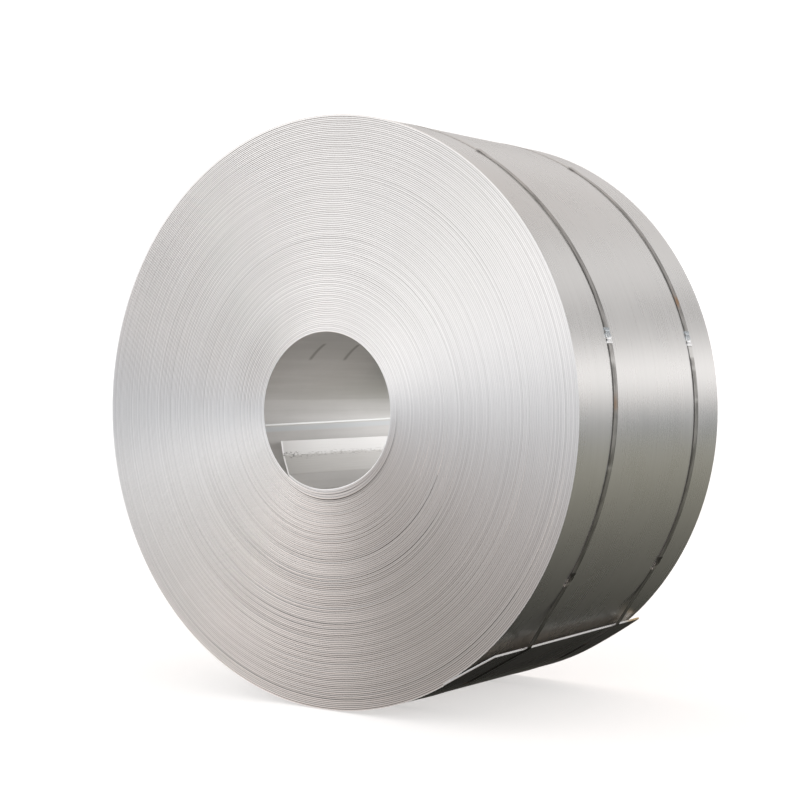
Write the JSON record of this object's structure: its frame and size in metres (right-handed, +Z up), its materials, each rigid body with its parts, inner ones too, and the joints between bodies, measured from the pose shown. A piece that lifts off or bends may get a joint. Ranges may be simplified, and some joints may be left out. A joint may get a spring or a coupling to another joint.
{
  "type": "steel coil",
  "caption": "Coil of wound steel strip lying on its side, with an open eye, a sprung outer tail, an inner flap and flat steel straps with crimped seals round it.",
  "frame": {"origin": "middle of the footprint, on the floor under the coil", "axes": "+Y along the eye, from the near end to the far end; +Z up; the outer tail springs off towards +X"},
  "size_m": [1.885, 0.9202, 1.8866],
  "materials": {
    "strip_steel": "bright pickled strip, satin, fine lengthwise lines",
    "strap_steel": "dull dark grey strapping with scuffs and a little rust",
    "seal_bright": "bright zinc-coated crimp seal",
    "seal_dark": "dull dark crimp seal"
  },
  "bodies": {
    "root": {"coil": "strip_steel", "strap_near": "strap_steel", "strap_far": "strap_steel", "seal_near_upper": "seal_bright", "seal_near_lower": "seal_dark", "seal_far_upper": "seal_bright", "seal_far_lower": "seal_dark"}
  },
  "joints": []
}
